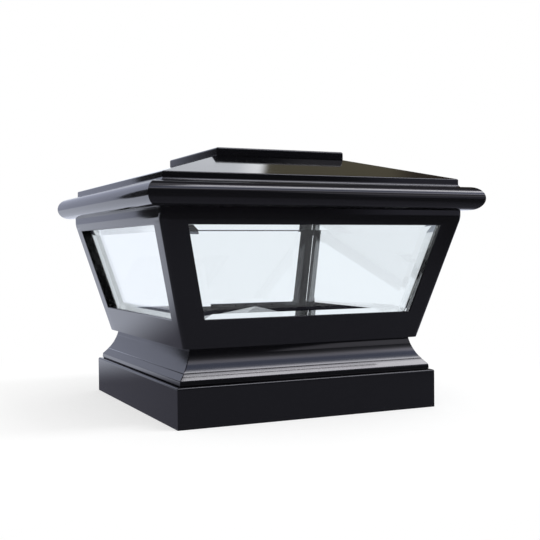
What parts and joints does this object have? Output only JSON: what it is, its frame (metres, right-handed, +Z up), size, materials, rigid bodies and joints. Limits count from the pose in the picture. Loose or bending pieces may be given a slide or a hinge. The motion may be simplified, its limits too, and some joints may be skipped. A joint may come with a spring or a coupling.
{
  "type": "deck post cap light",
  "caption": "Square post cap lantern with leaning bevelled windows, a bullnose pyramid roof and a lift-out solar module with battery door and switch.",
  "frame": {"origin": "centre of the skirt's bottom edge, at the level of its rim", "axes": "+Z up along the post, -Y out of the front window, +X to the right of it"},
  "size_m": [0.203, 0.203, 0.1524],
  "materials": {
    "gloss_black": "gloss black powder coat over cast aluminium",
    "pane_glass": "clear bevelled glass",
    "ceiling_white": "white enamel on sheet",
    "seal_rubber": "black foam rubber",
    "screw_steel": "zinc plated steel",
    "housing_plastic": "fine grained black plastic",
    "cell_blue": "dark blue silicon cells under resin",
    "board_green": "green solder mask",
    "battery_wrap": "plain green shrink sleeve",
    "contact_nickel": "nickel plated spring steel",
    "board_white": "white solder mask",
    "chip_yellow": "yellow phosphor",
    "lens_frost": "frosted clear plastic",
    "wire_red": "red PVC",
    "wire_black": "black PVC",
    "switch_plastic": "black plastic",
    "knob_white": "white plastic"
  },
  "bodies": {
    "cap": {"post_base": "gloss_black", "base_seal": "seal_rubber", "base_screws": "screw_steel", "lantern_frame": "gloss_black", "floor_pyramid": "gloss_black", "glass_front": "pane_glass", "glass_right": "pane_glass", "glass_back": "pane_glass", "glass_left": "pane_glass", "ceiling_plate": "ceiling_white", "roof_seal": "seal_rubber", "roof_shell": "gloss_black", "roof_screws": "screw_steel"},
    "solar_module": {"solar_bezel": "gloss_black", "cover_seal": "seal_rubber", "cover_glass": "pane_glass", "solar_cells": "cell_blue", "module_housing": "housing_plastic", "bezel_screws": "screw_steel", "control_board": "board_green", "board_screws": "screw_steel", "battery": "battery_wrap", "contact_plus": "contact_nickel", "contact_minus": "contact_nickel", "battery_spring": "contact_nickel", "lamp_board": "board_white", "lamp_chips": "chip_yellow", "lamp_lens": "lens_frost", "lamp_screws": "screw_steel", "switch_body": "switch_plastic", "panel_wire_red": "wire_red", "panel_wire_black": "wire_black", "lamp_wire_red": "wire_red", "lamp_wire_black": "wire_black", "switch_wire_red": "wire_red", "switch_wire_black": "wire_black", "door_pin": "screw_steel"},
    "battery_door": {"battery_door": "housing_plastic"},
    "switch_knob": {"switch_knob": "knob_white"}
  },
  "joints": [
    {"name": "module_lift", "type": "slide", "parent": "cap", "child": "solar_module", "axis": [0, 0, 1], "range_m": [0, 0.05]},
    {"name": "door_hinge", "type": "hinge", "parent": "solar_module", "child": "battery_door", "pos_m": [-0.0299, 0, 0.1211], "axis": [0, 1, 0], "range_deg": [0, 90]},
    {"name": "switch_slide", "type": "slide", "parent": "solar_module", "child": "switch_knob", "axis": [0, 1, 0], "range_m": [0, 0.003]}
  ]
}
